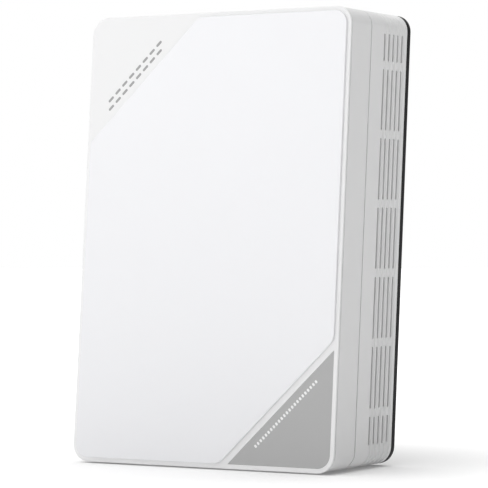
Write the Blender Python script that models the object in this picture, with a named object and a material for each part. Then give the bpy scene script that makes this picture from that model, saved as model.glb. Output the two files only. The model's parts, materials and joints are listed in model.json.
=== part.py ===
"""Leaning desktop wireless router, modelled as separate pieces in metres with +Z up.

The front faces -Y and the casing leans back: every depth line stays level, and each step up
moves a point back by tan(LEAN). Two frames are used:
- the shell frame (x, depth, height): depth runs back from the front face, height runs up from
  the underside of the casing. shell_object() leans its meshes into place.
- the back frame (x, u, v): u is square to the rear face and zero on it, negative inside, and v
  runs up that face. Pieces on the circuit board are children of the empty "back_frame".
"""

import math

import bmesh
import bpy
from mathutils import Matrix, Vector

MM = 0.001

# Driving dimensions of the casing.
WIDTH = 133.5 * MM
HEIGHT = 200 * MM
DEPTH = 56.7 * MM
LEAN = math.radians(4.9)
CORNER_RADIUS = 8 * MM
FOOT_LIFT = 0.6 * MM
GAP = 0.3 * MM
ARC_STEPS = 8
ROUND_STEPS = 24
SMALL_STEPS = 12

# Front: a frame with a thin visible edge, and a panel that stands proud of it.
FRAME_EDGE = 0.4 * MM
FLANGE_BACK = 0.6 * MM
FRAME_NECK = 0.9 * MM
FRAME_BACK = 1.4 * MM
PANEL_RISE = 0.9 * MM
PANEL_INSET = 2 * MM
PANEL_EDGE = 0.3 * MM
PANEL_BOSS = 0.7 * MM
PANEL_BACK = 2.6 * MM
PANEL_CUT = 58.6 * MM
PANEL_FILLET = 7.5 * MM
BADGE_FRONT = 0.1 * MM
BADGE_INSET = 2.1 * MM
BADGE_CUT = 54.4 * MM
SOFT_CORNER = 1.2 * MM

# Casing shells, as depths behind the front face.
BODY_INSET = 0.3 * MM
WALL = 2.4 * MM
FRONT_WALL_START = 1.7 * MM
POCKET_FLOOR = 2.9 * MM
FRONT_WALL_END = 5.1 * MM
SEAM_FRONT = 19 * MM
SEAM_BACK = 19.6 * MM
COVER_FRONT = 53.4 * MM
EDGE_SOFTENING = 0.3 * MM
COVER_EDGE = 0.8 * MM
TONGUE_REACH = 2.4 * MM
TONGUE_WALL = 1 * MM

# Grooves round the rear shell, and the vent slots in their floors.
GROOVE_COUNT = 5
FIRST_GROOVE = 32.7 * MM
GROOVE_PITCH = 4.12 * MM
GROOVE_DEPTH = 0.6 * MM
GROOVE_FLOOR = 1.9 * MM
GROOVE_MOUTH = 3.6 * MM
SLOT_WIDTH = 1.6 * MM
SLOT_LENGTH = 27 * MM
SLOT_BRIDGE = 3.4 * MM
END_SLOT_LENGTH = 12.3 * MM
SLOT_ROWS = 7

# Circuit board and the things behind the rear cover, in the back frame.
COVER_INNER = -3 * MM
BOARD_REAR = -19.1 * MM
BOARD_THICKNESS = 1.6 * MM
BOARD_FRONT = BOARD_REAR - BOARD_THICKNESS
BOARD_WIDTH = 104 * MM
BOARD_LOW = 7 * MM
BOARD_HIGH = 160 * MM
ON_BOARD = BOARD_REAR + GAP
UNDER_BOARD = BOARD_FRONT - GAP
BOARD_SCREW_X = 46 * MM
BOARD_SCREW_V = (11.5 * MM, 155 * MM)
CASE_SCREW_X = 60.5 * MM
CASE_SCREW_V = (8.3 * MM, 192 * MM)
PORT_ROW = 22 * MM
JACK_FACE = -0.6 * MM
JACK_X = (20 * MM, 0, -20 * MM)
JACK_WIDTH = 16 * MM
JACK_HEIGHT = 14 * MM
JACK_SLOT_DEPTH = 12.5 * MM
POWER_X = 44 * MM
POWER_BUTTON_V = 44 * MM
BUTTON_X = -43 * MM
RESET_V = 38 * MM
SIM_V = 53 * MM
AERIAL_V = 172 * MM
AERIAL_SOCKET_X = 9 * MM
HEATSINK_LOW = 78 * MM
HEATSINK_HIGH = 140 * MM
PROCESSOR_V = 109 * MM

# Doors behind which the SIM reader and the aerial sockets lie, in the back frame.
DOOR_FRONT = -1.35 * MM
DOOR_BACK = -0.15 * MM
DOOR_PIVOT_U = -0.75 * MM
DOOR_PIVOT_V = 0.9 * MM
DOOR_CLEARANCE = 0.35 * MM
DOOR_RECESS = -2 * MM
DOOR_PIN = 0.45 * MM
SIM_DOOR = (30 * MM, 19 * MM)
SIM_WINDOW = (26 * MM, 12.5 * MM)
AERIAL_DOOR = (34 * MM, 13 * MM)
AERIAL_WINDOW = (29 * MM, 8.4 * MM)

# Aerials round the edge of the front shell, as depths.
AERIAL_FRAME_FRONT = FRONT_WALL_END + GAP
AERIAL_FRAME_BACK = 8.2 * MM
AERIAL_START = AERIAL_FRAME_BACK + GAP
AERIAL_END = 26 * MM
AERIAL_THICKNESS = 0.8 * MM
SIDE_AERIAL_X = 59.2 * MM
TOP_AERIAL_HEIGHT = 192 * MM
LEAD_RADIUS = 0.55 * MM

FRONT_OVERHANG = PANEL_RISE - (PANEL_INSET + PANEL_EDGE) * math.tan(LEAN)
TOP_SHIFT = (HEIGHT - BODY_INSET - COVER_EDGE) * math.tan(LEAN)
SHELL_TO_WORLD = Matrix.Identity(4)
SHELL_TO_WORLD[1][2] = math.tan(LEAN)
SHELL_TO_WORLD.translation = (0, -(DEPTH + TOP_SHIFT - FRONT_OVERHANG) / 2, FOOT_LIFT)


# Scene and object helpers.

def clear_scene():
    for old in list(bpy.data.objects):
        bpy.data.objects.remove(old, do_unlink=True)


def new_collection(name):
    collection = bpy.data.collections.new(name)
    bpy.context.scene.collection.children.link(collection)
    return collection


def new_material(name, colour, roughness, metallic=0.0):
    material = bpy.data.materials.new(name)
    material.use_nodes = True
    shader = material.node_tree.nodes["Principled BSDF"]
    shader.inputs["Base Color"].default_value = (*colour, 1)
    shader.inputs["Roughness"].default_value = roughness
    shader.inputs["Metallic"].default_value = metallic
    return material


def object_from(name, mesh, material=None):
    """Makes an object from a bmesh: a part if it has a material, else a cutter or joining piece."""
    bmesh.ops.recalc_face_normals(mesh, faces=mesh.faces)
    data = bpy.data.meshes.new(name)
    mesh.to_mesh(data)
    mesh.free()
    obj = bpy.data.objects.new(name, data)
    if material:
        data.materials.append(material)
        data.shade_smooth()
        data.set_sharp_from_angle(angle=math.radians(30))
        PARTS.objects.link(obj)
    else:
        obj.hide_render = True
        obj.display_type = "WIRE"
        CUTTERS.objects.link(obj)
    return obj


def shell_object(name, mesh, material=None):
    bmesh.ops.transform(mesh, matrix=SHELL_TO_WORLD, verts=mesh.verts)
    return object_from(name, mesh, material)


def back_object(name, mesh, material=None, at=(0, 0, 0)):
    obj = object_from(name, mesh, material)
    obj.parent = BACK_FRAME
    obj.location = at
    return obj


def combine(target, other, operation="DIFFERENCE"):
    modifier = target.modifiers.new(operation.title(), "BOOLEAN")
    modifier.operation = operation
    modifier.solver = "EXACT"
    modifier.object = other


# Outlines, each a list of (x, height) points, counter-clockwise from the front.

def filleted_outline(corners, steps=ARC_STEPS):
    """A closed outline through (x, height, radius) corners, with an arc at each rounded one."""
    points = []
    for index, (x, height, radius) in enumerate(corners):
        corner = Vector((x, height))
        if radius == 0:
            points.append(corner)
            continue
        back = (Vector(corners[index - 1][:2]) - corner).normalized()
        onward = (Vector(corners[(index + 1) % len(corners)][:2]) - corner).normalized()
        half = back.angle(onward) / 2
        centre = corner + (back + onward).normalized() * radius / math.sin(half)
        start = corner + back * radius / math.tan(half) - centre
        turn = -math.copysign(math.pi - 2 * half, back.cross(onward))
        for step in range(steps + 1):
            points.append(centre + Matrix.Rotation(turn * step / steps, 2) @ start)
    return points


def rectangle(width, height, radius=0, centre=(0, 0), steps=4):
    x, y = centre
    corners = [(x + width / 2, y - height / 2), (x + width / 2, y + height / 2)]
    corners += [(x - width / 2, y + height / 2), (x - width / 2, y - height / 2)]
    return filleted_outline([(*corner, radius) for corner in corners], steps)


def body_outline(inset):
    centre = (0, HEIGHT / 2)
    radius = CORNER_RADIUS - inset
    return rectangle(WIDTH - 2 * inset, HEIGHT - 2 * inset, radius, centre, ARC_STEPS)


def circle(radius, steps=ROUND_STEPS):
    turns = [math.tau * step / steps for step in range(steps)]
    return [(radius * math.cos(turn), radius * math.sin(turn)) for turn in turns]


def lobed(radius, steps=ROUND_STEPS):
    """The six-lobed outline of a screw's driver recess."""
    turns = [math.tau * step / steps for step in range(steps)]
    radii = [radius * (1 + 0.2 * math.cos(6 * turn)) for turn in turns]
    return [(r * math.cos(turn), r * math.sin(turn)) for r, turn in zip(radii, turns)]


def panel_outline(shrink):
    """The front panel: a rounded plate with two opposite corners cut at 45 degrees."""
    inset = PANEL_INSET + shrink
    right = WIDTH / 2 - inset
    top = HEIGHT - inset
    cut = PANEL_CUT - inset + shrink * math.sqrt(2)
    outer = WIDTH / 2
    round_corner = CORNER_RADIUS - inset
    corners = [
        (outer - cut, inset, PANEL_FILLET),
        (right, cut, PANEL_FILLET),
        (right, top, round_corner),
        (cut - outer, top, SOFT_CORNER),
        (-right, HEIGHT - cut, SOFT_CORNER),
        (-right, inset, round_corner),
    ]
    return filleted_outline(corners)


def badge_outline(shrink):
    """The triangle in the lower right corner of the front."""
    inset = BADGE_INSET + shrink
    right = WIDTH / 2 - inset
    cut = BADGE_CUT - inset - shrink * math.sqrt(2)
    corners = [
        (WIDTH / 2 - cut, inset, 0),
        (right, inset, CORNER_RADIUS - inset),
        (right, cut, 0),
    ]
    return filleted_outline(corners)


# Solids.

def loft(loops, closed=False):
    """Joins (outline, depth) pairs with equal point counts: a capped solid, or a ring if closed."""
    mesh = bmesh.new()
    rings = [[mesh.verts.new((x, depth, h)) for x, h in outline] for outline, depth in loops]
    following = rings[1:] + rings[:1] if closed else rings[1:]
    for near, far in zip(rings, following):
        for index in range(len(near)):
            mesh.faces.new((near[index - 1], near[index], far[index], far[index - 1]))
    if not closed:
        mesh.faces.new(rings[0])
        mesh.faces.new(rings[-1])
    return mesh


def prism(outline, start, end):
    return loft([(outline, start), (outline, end)])


def box(size, centre=(0, 0, 0), mesh=None):
    mesh = mesh or bmesh.new()
    matrix = Matrix.Translation(centre) @ Matrix.Diagonal((*size, 1))
    bmesh.ops.create_cube(mesh, size=1, matrix=matrix)
    return mesh


def turned(profile, steps=ROUND_STEPS):
    """A round solid along u from (radius, u) pairs."""
    return loft([(circle(radius, steps), u) for radius, u in profile])


def cylinder(radius, start, end, steps=ROUND_STEPS):
    return turned([(radius, start), (radius, end)], steps)


# Front: frame, gloss panel and badge.

def make_front():
    past = 2 * MM
    edge = []
    for step in range(4):
        angle = math.pi / 2 * step / 3
        edge.append((1 - math.sin(angle), 1 - math.cos(angle)))
    loops = [(body_outline(FRAME_EDGE * inset), FRAME_EDGE * depth) for inset, depth in edge]
    loops.append((body_outline(0), FLANGE_BACK))
    loops.append((body_outline(FRAME_NECK), FLANGE_BACK))
    loops.append((body_outline(FRAME_NECK), FRAME_BACK))
    frame = shell_object("front_frame", loft(loops), WHITE_SATIN)
    windows = [("panel_window", panel_outline(PANEL_BOSS - GAP)), ("badge_window", badge_outline(-GAP))]
    for name, outline in windows:
        combine(frame, shell_object(name, prism(outline, -past, FRAME_BACK + past)))

    loops = [(panel_outline(PANEL_EDGE), -PANEL_RISE)]
    loops.append((panel_outline(0), PANEL_EDGE - PANEL_RISE))
    loops.append((panel_outline(0), -GAP))
    loops.append((panel_outline(PANEL_BOSS), -GAP))
    loops.append((panel_outline(PANEL_BOSS), PANEL_BACK))
    shell_object("front_panel", loft(loops), WHITE_GLOSS)

    badge = prism(badge_outline(0), BADGE_FRONT, PANEL_BACK)
    shell_object("corner_badge", badge, GREY_SATIN)


# Casing shells.

def make_front_housing():
    """A tray with pockets for the panel and the badge, and four posts for the circuit board."""
    inner = BODY_INSET + WALL
    loops = [(body_outline(BODY_INSET + EDGE_SOFTENING), FRONT_WALL_START)]
    loops.append((body_outline(BODY_INSET), FRONT_WALL_START + EDGE_SOFTENING))
    loops.append((body_outline(BODY_INSET), SEAM_FRONT - EDGE_SOFTENING))
    loops.append((body_outline(BODY_INSET + EDGE_SOFTENING), SEAM_FRONT))
    loops.append((body_outline(inner), SEAM_FRONT))
    loops.append((body_outline(inner), FRONT_WALL_END))
    tray = shell_object("front_housing", loft(loops), WHITE_SATIN)
    pockets = [("panel_pocket", panel_outline(PANEL_BOSS - GAP)), ("badge_pocket", badge_outline(-GAP))]
    for name, outline in pockets:
        combine(tray, shell_object(name, prism(outline, -1 * MM, POCKET_FLOOR)))
    post_start = FRONT_WALL_END - DEPTH - 1 * MM
    for x in (-BOARD_SCREW_X, BOARD_SCREW_X):
        for v in BOARD_SCREW_V:
            post = cylinder(3 * MM, post_start, UNDER_BOARD, SMALL_STEPS)
            combine(tray, back_object("board_post", post, at=(x, 0, v)), "UNION")
            hole = cylinder(1.45 * MM, UNDER_BOARD - 7.5 * MM, UNDER_BOARD + 1 * MM, SMALL_STEPS)
            combine(tray, back_object("board_post_hole", hole, at=(x, 0, v)))
    hole = cylinder(1.6 * MM, -DEPTH, FRONT_WALL_END - DEPTH + 2 * MM)
    combine(tray, back_object("light_hole", hole, at=(0, 0, PORT_ROW + 4 * MM)))


def rear_housing_profile():
    """(inset, depth) points once round the wall: grooved outside, tongue at the front inside."""
    outer = BODY_INSET
    points = [(outer + EDGE_SOFTENING, SEAM_BACK), (outer, SEAM_BACK + EDGE_SOFTENING)]
    for number in range(GROOVE_COUNT):
        centre = FIRST_GROOVE + number * GROOVE_PITCH
        floor = outer + GROOVE_DEPTH
        points.append((outer, centre - GROOVE_MOUTH / 2))
        points.append((floor, centre - GROOVE_FLOOR / 2))
        points.append((floor, centre + GROOVE_FLOOR / 2))
        points.append((outer, centre + GROOVE_MOUTH / 2))
    end = COVER_FRONT - GAP
    points.append((outer, end - EDGE_SOFTENING))
    points.append((outer + EDGE_SOFTENING, end))
    inner = outer + WALL
    tongue = inner + GAP
    points.append((inner, end))
    points.append((inner, SEAM_BACK + 3 * MM))
    points.append((tongue + TONGUE_WALL, SEAM_BACK + 2 * MM))
    points.append((tongue + TONGUE_WALL, SEAM_BACK - TONGUE_REACH))
    points.append((tongue, SEAM_BACK - TONGUE_REACH))
    points.append((tongue, SEAM_BACK))
    return points


def slot_rows():
    """(middle height, length) of each row of vent slots, from the lowest up."""
    rows = []
    lengths = [END_SLOT_LENGTH] + [SLOT_LENGTH] * (SLOT_ROWS - 2) + [END_SLOT_LENGTH]
    low = (HEIGHT - sum(lengths) - SLOT_BRIDGE * (SLOT_ROWS - 1)) / 2
    for length in lengths:
        rows.append((low + length / 2, length))
        low += length + SLOT_BRIDGE
    return rows


def make_rear_housing():
    loops = [(body_outline(inset), depth) for inset, depth in rear_housing_profile()]
    ring = shell_object("rear_housing", loft(loops, closed=True), WHITE_SATIN)
    slots = bmesh.new()
    for side in (-1, 1):
        for number in range(GROOVE_COUNT):
            depth = FIRST_GROOVE + number * GROOVE_PITCH
            for height, length in slot_rows():
                centre = (side * (WIDTH / 2 - WALL / 2), depth, height)
                box((WALL + 2 * MM, SLOT_WIDTH, length), centre, slots)
    combine(ring, shell_object("vent_slots", slots))
    for x in (-CASE_SCREW_X, CASE_SCREW_X):
        for v in CASE_SCREW_V:
            boss = cylinder(4 * MM, -14 * MM, COVER_INNER - GAP, ROUND_STEPS)
            combine(ring, back_object("case_boss", boss, at=(x, 0, v)), "UNION")
            hole = cylinder(1.55 * MM, -12.5 * MM, COVER_INNER + 1 * MM, SMALL_STEPS)
            combine(ring, back_object("case_boss_hole", hole, at=(x, 0, v)))


def jack_opening():
    """The stepped mouth of a network jack, with the latch side down."""
    wide = 5.9 * MM
    middle = 3.1 * MM
    narrow = 1.9 * MM
    levels = (4.6 * MM, -2.4 * MM, -4.4 * MM, -5.6 * MM)
    right = [(narrow, levels[3]), (narrow, levels[2]), (middle, levels[2]), (middle, levels[1])]
    right += [(wide, levels[1]), (wide, levels[0])]
    left = [(-x, v) for x, v in reversed(right)]
    return right + left


# A small door: its plate, the recess that it lies in and the window behind it.

def pin_mesh(length, radius):
    mesh = cylinder(radius, -length / 2, length / 2, SMALL_STEPS)
    turn = Matrix.Rotation(math.pi / 2, 4, "Z")
    bmesh.ops.transform(mesh, matrix=turn, verts=mesh.verts)
    return mesh


def cut_door_recess(cover, name, size, window, v):
    width, height = size
    recess = rectangle(width + 2 * DOOR_CLEARANCE, height + 2 * DOOR_CLEARANCE, 1 * MM)
    combine(cover, back_object(name + "_recess", prism(recess, DOOR_RECESS, 1 * MM), at=(0, 0, v)))
    opening = rectangle(*window, 1 * MM)
    lift = (height - window[1]) / 2 - 1.6 * MM
    hole = prism(opening, COVER_INNER - 1 * MM, DOOR_RECESS + 0.5 * MM)
    combine(cover, back_object(name + "_window", hole, at=(0, 0, v + lift)))
    pivot = (0, DOOR_PIVOT_U, v - height / 2 + DOOR_PIVOT_V)
    holes = pin_mesh(width + 3.6 * MM, DOOR_PIN + 0.15 * MM)
    combine(cover, back_object(name + "_pin_holes", holes, at=pivot))


def make_door(name, size, v):
    """A flat door with its origin on its pivot, near its lower edge."""
    width, height = size
    lift = height / 2 - DOOR_PIVOT_V
    plate = rectangle(width, height, 0.8 * MM, (0, lift))
    lip = rectangle(width - 0.6 * MM, height - 0.6 * MM, 0.5 * MM, (0, lift))
    loops = [(plate, DOOR_FRONT - DOOR_PIVOT_U), (plate, DOOR_BACK - DOOR_PIVOT_U - GAP)]
    loops.append((lip, DOOR_BACK - DOOR_PIVOT_U))
    at = (0, DOOR_PIVOT_U, v - height / 2 + DOOR_PIVOT_V)
    door = back_object(name, loft(loops), BLACK_SATIN, at)
    pins = pin_mesh(width + 2.8 * MM, DOOR_PIN)
    combine(door, back_object(name + "_pins", pins, at=at), "UNION")
    grip = rectangle(8 * MM, 1.6 * MM, 0.7 * MM, (0, height - DOOR_PIVOT_V - 1.4 * MM))
    notch = prism(grip, DOOR_BACK - DOOR_PIVOT_U - 0.6 * MM, 1 * MM)
    combine(door, back_object(name + "_grip", notch, at=at))


def make_rear_cover():
    """The dark plate at the back with every port, button, door and vent opening in it."""
    loops = [(body_outline(BODY_INSET), COVER_FRONT)]
    loops.append((body_outline(BODY_INSET), DEPTH - COVER_EDGE))
    loops.append((body_outline(BODY_INSET + 0.25 * COVER_EDGE), DEPTH - 0.25 * COVER_EDGE))
    loops.append((body_outline(BODY_INSET + COVER_EDGE), DEPTH))
    cover = shell_object("rear_cover", loft(loops), BLACK_SATIN)
    past = 1 * MM
    through = (COVER_INNER - past, past)
    mouth = rectangle(JACK_WIDTH + 2 * GAP, JACK_HEIGHT + 2 * GAP, 0.6 * MM)
    for x in JACK_X:
        combine(cover, back_object("jack_mouth", prism(mouth, *through), at=(x, 0, PORT_ROW)))
    round_holes = [
        ("inlet_hole", 4.5, POWER_X, PORT_ROW),
        ("power_button_hole", 5.2, POWER_X, POWER_BUTTON_V),
        ("pairing_button_hole", 3.6, BUTTON_X, PORT_ROW),
        ("reset_hole", 0.9, BUTTON_X, RESET_V),
    ]
    for name, radius, x, v in round_holes:
        combine(cover, back_object(name, cylinder(radius * MM, *through), at=(x, 0, v)))
    cut_door_recess(cover, "sim", SIM_DOOR, SIM_WINDOW, SIM_V)
    cut_door_recess(cover, "aerial", AERIAL_DOOR, AERIAL_WINDOW, AERIAL_V)
    vents = bmesh.new()
    for x in (-21 * MM, 21 * MM):
        for row in range(9):
            box((34 * MM, 10 * MM, 2 * MM), (x, 0, HEATSINK_LOW + (4 + 6.5 * row) * MM), vents)
    combine(cover, back_object("cover_vents", vents))
    for x in (-CASE_SCREW_X, CASE_SCREW_X):
        for v in CASE_SCREW_V:
            stepped = turned([(1.7 * MM, through[0]), (1.7 * MM, -1.9 * MM), (2.9 * MM, -1.9 * MM),
                              (2.9 * MM, through[1])], ROUND_STEPS)
            combine(cover, back_object("case_screw_hole", stepped, at=(x, 0, v)))


def make_feet():
    """Four rubber pads under the casing, each with its length across the front."""
    top = FOOT_LIFT + BODY_INSET - GAP
    for row, depth in (("front", 10 * MM), ("rear", 46.8 * MM)):
        for side, x in (("left", -45.2 * MM), ("right", 45.2 * MM)):
            small = rectangle(18 * MM, 7.4 * MM, 3.6 * MM)
            full = rectangle(18.6 * MM, 8 * MM, 3.9 * MM)
            mesh = loft([(small, 0), (full, 0.3 * MM), (full, top)])
            upright = Matrix.Rotation(math.pi / 2, 4, "X")
            bmesh.ops.transform(mesh, matrix=upright, verts=mesh.verts)
            foot = object_from(f"foot_{row}_{side}", mesh, RUBBER)
            foot.location = (x, SHELL_TO_WORLD.translation.y + depth, 0)


# Circuit board and what stands on it.

def make_board():
    middle = (BOARD_LOW + BOARD_HIGH) / 2
    outline = rectangle(BOARD_WIDTH, BOARD_HIGH - BOARD_LOW, 2 * MM, (0, middle))
    board = back_object("main_board", prism(outline, BOARD_FRONT, BOARD_REAR), BOARD_GREEN)
    for x in (-BOARD_SCREW_X, BOARD_SCREW_X):
        for v in BOARD_SCREW_V:
            hole = cylinder(1.6 * MM, BOARD_FRONT - 1 * MM, BOARD_REAR + 1 * MM, SMALL_STEPS)
            combine(board, back_object("board_hole", hole, at=(x, 0, v)))


def make_shield(name, size, x, v):
    """A pressed metal can, open towards the board, on the front of the board."""
    width, thickness, height = size
    wall = 0.4 * MM
    middle = UNDER_BOARD - thickness / 2
    can = back_object(name, box(size), STEEL, (x, middle, v))
    hollow = box((width - 2 * wall, thickness, height - 2 * wall), (0, wall, 0))
    combine(can, back_object(name + "_hollow", hollow, at=(x, middle, v)))


def make_heatsink():
    """Processor, thermal pad and a finned aluminium block, stacked on the back of the board."""
    side = 21 * MM
    chip_top = ON_BOARD + 1.3 * MM
    chip = box((side, 1.3 * MM, side), (0, ON_BOARD + 0.65 * MM, 0))
    back_object("main_processor", chip, CHIP_BLACK, (0, 0, PROCESSOR_V))
    pad = box((side, 1 * MM, side), (0, chip_top + GAP + 0.5 * MM, 0))
    back_object("thermal_pad", pad, PAD_GREY, (0, 0, PROCESSOR_V))
    base = chip_top + 1 * MM + 2 * GAP
    root = base + 2.5 * MM
    tip = root + 9 * MM
    fins = 13
    pitch = 6 * MM
    half_fin = 0.8 * MM
    width = pitch * (fins - 1) + 2 * half_fin
    comb = [(-width / 2, base), (width / 2, base)]
    for number in reversed(range(fins)):
        x = (number - (fins - 1) / 2) * pitch
        comb += [(x + half_fin, root), (x + half_fin, tip), (x - half_fin, tip), (x - half_fin, root)]
    comb = comb[:2] + comb[3:-1]
    mesh = prism(comb, -HEATSINK_HIGH, -HEATSINK_LOW)
    upright = Matrix.Rotation(-math.pi / 2, 4, "X")
    bmesh.ops.transform(mesh, matrix=upright, verts=mesh.verts)
    back_object("heatsink", mesh, ALUMINIUM)


def make_network_jacks():
    """Upright network jacks, each a moulded block with a comb of spring contacts in its slot."""
    block = rectangle(JACK_WIDTH, JACK_HEIGHT)
    for number, x in enumerate(JACK_X, start=1):
        at = (x, 0, PORT_ROW)
        jack = back_object(f"lan_jack_{number}", prism(block, ON_BOARD, JACK_FACE), BLACK_GLOSS, at)
        slot = prism(jack_opening(), JACK_FACE - JACK_SLOT_DEPTH, 1 * MM)
        combine(jack, back_object("jack_slot", slot, at=at))
        pitch = 1.02 * MM
        half_wire = 0.24 * MM
        bar = 1.2 * MM
        reach = 8.5 * MM
        edge = 3.5 * pitch + half_wire
        comb = [(-edge, 0), (edge, 0)]
        for wire in reversed(range(8)):
            middle = (wire - 3.5) * pitch
            comb += [(middle + half_wire, bar), (middle + half_wire, reach)]
            comb += [(middle - half_wire, reach), (middle - half_wire, bar)]
        comb = comb[:2] + comb[3:-1]
        mesh = prism(comb, 0, 0.3 * MM)
        tilt = Matrix.Rotation(math.radians(-78), 4, "X")
        bmesh.ops.transform(mesh, matrix=tilt, verts=mesh.verts)
        inner = (x, JACK_FACE - JACK_SLOT_DEPTH + 1.2 * MM, PORT_ROW + 2.3 * MM)
        back_object(f"lan_contacts_{number}", mesh, GOLD, inner)


def make_power_inlet():
    """The low-voltage inlet: a block with a round nose, and the pin in its bore."""
    at = (POWER_X, 0, PORT_ROW)
    block = box((10 * MM, 12 * MM, 11 * MM), (0, ON_BOARD + 6 * MM, 0))
    inlet = back_object("dc_inlet", block, BLACK_GLOSS, at)
    nose = cylinder(4.2 * MM, -8 * MM, JACK_FACE)
    combine(inlet, back_object("inlet_nose", nose, at=at), "UNION")
    combine(inlet, back_object("inlet_bore", cylinder(2.9 * MM, -10 * MM, 1 * MM), at=at))
    pin = turned([(0.95 * MM, -9.7 * MM), (0.95 * MM, -2 * MM), (0.6 * MM, -1.6 * MM)], SMALL_STEPS)
    back_object("dc_inlet_pin", pin, GOLD, at)


def make_button(name, radius, travel, stem_end, at, switch_size):
    """A push button with a flange behind the cover and a stem, and the switch it works."""
    flange_face = COVER_INNER - 0.3 * MM
    flange_back = flange_face - 1 * MM
    top = 0.8 * MM
    profile = [(1.5, stem_end), (1.5, flange_back), (radius + 0.9, flange_back)]
    profile += [(radius + 0.9, flange_face), (radius, flange_face), (radius, top - 0.4 * MM)]
    profile += [(radius - 0.5, top), (radius - 1.1, top), (radius - 1.5, top - 0.3 * MM)]
    mesh = turned([(r * MM, u) for r, u in profile])
    back_object(name, mesh, BLACK_SATIN, (at[0], 0, at[1]))
    switch_top = stem_end - travel - GAP
    depth = switch_top - ON_BOARD
    body = box((switch_size, depth, switch_size), (0, ON_BOARD + depth / 2, 0))
    back_object(name.replace("button", "switch"), body, BLACK_SATIN, (at[0], 0, at[1]))


def make_reset():
    """A short plunger behind its pinhole, and the switch under it."""
    stem_end = -9 * MM
    profile = [(0.9, stem_end), (0.9, -4.3 * MM), (1.6, -4.3 * MM), (1.6, COVER_INNER - GAP)]
    plunger = turned([(r * MM, u) for r, u in profile], SMALL_STEPS)
    at = (BUTTON_X, 0, RESET_V)
    back_object("reset_plunger", plunger, WHITE_SATIN, at)
    switch_top = stem_end - 0.8 * MM
    depth = switch_top - ON_BOARD
    body = box((6 * MM, depth, 6 * MM), (0, ON_BOARD + depth / 2, 0))
    back_object("reset_switch", body, BLACK_SATIN, at)


def make_sim_reader():
    """The card reader on its own small board, held off the main board by its connector."""
    board_u = -9.8 * MM
    at = (0, 0, SIM_V)
    board = back_object("sim_board", box((30 * MM, 1 * MM, 21 * MM), (0, board_u, 0)), BOARD_GREEN, at)
    height = board_u - ON_BOARD
    connector = box((20 * MM, height, 5 * MM), (0, ON_BOARD + height / 2, -7 * MM))
    combine(board, back_object("sim_connector", connector, at=at), "UNION")
    face = board_u + 0.5 * MM + GAP
    reader = box((15.5 * MM, 1.8 * MM, 13.5 * MM), (0, face + 0.9 * MM, 0))
    shell = back_object("sim_reader", reader, STEEL, at)
    slot = box((12.7 * MM, 0.9 * MM, 13 * MM), (0, face + 0.9 * MM, 2 * MM))
    combine(shell, back_object("sim_slot", slot, at=at))


def make_aerial_sockets():
    """Two coaxial sockets for outdoor aerials, on a small board behind their door."""
    board_u = -10 * MM
    board = box((36 * MM, 1 * MM, 13 * MM), (0, board_u, 0))
    back_object("aerial_socket_board", board, BOARD_GREEN, (0, 0, AERIAL_V))
    start = board_u + 0.5 * MM + GAP
    profile = [(2.6, start), (2.6, start + 1 * MM), (1.9, start + 1 * MM), (1.9, -3.4 * MM)]
    profile += [(1.1, -3.4 * MM), (1.1, start + 1.5 * MM)]
    for side, x in (("left", -AERIAL_SOCKET_X), ("right", AERIAL_SOCKET_X)):
        socket = turned([(r * MM, u) for r, u in profile], SMALL_STEPS)
        back_object(f"aerial_socket_{side}", socket, GOLD, (x, 0, AERIAL_V + 0.7 * MM))


def make_light_guide():
    guide = cylinder(1.3 * MM, -52.3 * MM, UNDER_BOARD, SMALL_STEPS)
    back_object("status_light_guide", guide, CLEAR, (0, 0, PORT_ROW + 4 * MM))


def make_screws():
    """Case screws in the cover's corners and board screws in the posts, all with lobed recesses."""
    case = [(1.35, -11 * MM), (1.35, -1.6 * MM), (2.6, -1.6 * MM), (2.6, -0.7 * MM), (2.2, -0.4 * MM)]
    board = [(1.25, -27 * MM), (1.25, ON_BOARD), (2.4, ON_BOARD), (2.4, -17.8 * MM), (2, -17.5 * MM)]
    sets = [("case", case, ROUND_STEPS, CASE_SCREW_X, CASE_SCREW_V)]
    sets.append(("board", board, SMALL_STEPS, BOARD_SCREW_X, BOARD_SCREW_V))
    for kind, profile, steps, x, rows in sets:
        for side, sign in (("left", -1), ("right", 1)):
            for level, v in zip(("low", "high"), rows):
                loops = [(circle(r * MM, steps), u) for r, u in profile]
                top = profile[-1][1]
                loops.append((lobed(1.1 * MM, steps), top))
                loops.append((lobed(0.9 * MM, steps), top - 0.8 * MM))
                name = f"{kind}_screw_{level}_{side}"
                back_object(name, loft(loops), STEEL, (sign * x, 0, v))


# Aerials round the edge of the front shell.

def make_aerial_frame():
    """A flat plastic ring that holds the aerial boards against the front shell."""
    outer = body_outline(6.2 * MM)
    inner = filleted_outline([(49.7 * MM, 11 * MM, 2 * MM), (49.7 * MM, 189 * MM, 2 * MM),
                              (-49.7 * MM, 189 * MM, 2 * MM), (-49.7 * MM, 11 * MM, 2 * MM)])
    loops = [(outer, AERIAL_FRAME_FRONT), (outer, AERIAL_FRAME_BACK)]
    loops += [(inner, AERIAL_FRAME_BACK), (inner, AERIAL_FRAME_FRONT)]
    shell_object("aerial_frame", loft(loops, closed=True), WHITE_SATIN)


def make_lead(name, points):
    """A thin coaxial lead through (x, depth, height) points, square to the board at its start."""
    curve = bpy.data.curves.new(name, "CURVE")
    curve.dimensions = "3D"
    curve.bevel_depth = LEAD_RADIUS
    curve.bevel_resolution = 1
    curve.use_fill_caps = True
    spline = curve.splines.new("POLY")
    spline.points.add(len(points) - 1)
    for target, point in zip(spline.points, points):
        target.co = (*(SHELL_TO_WORLD @ Vector(point)), 1)
    curve.materials.append(LEAD_GREY)
    PARTS.objects.link(bpy.data.objects.new(name, curve))


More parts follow.
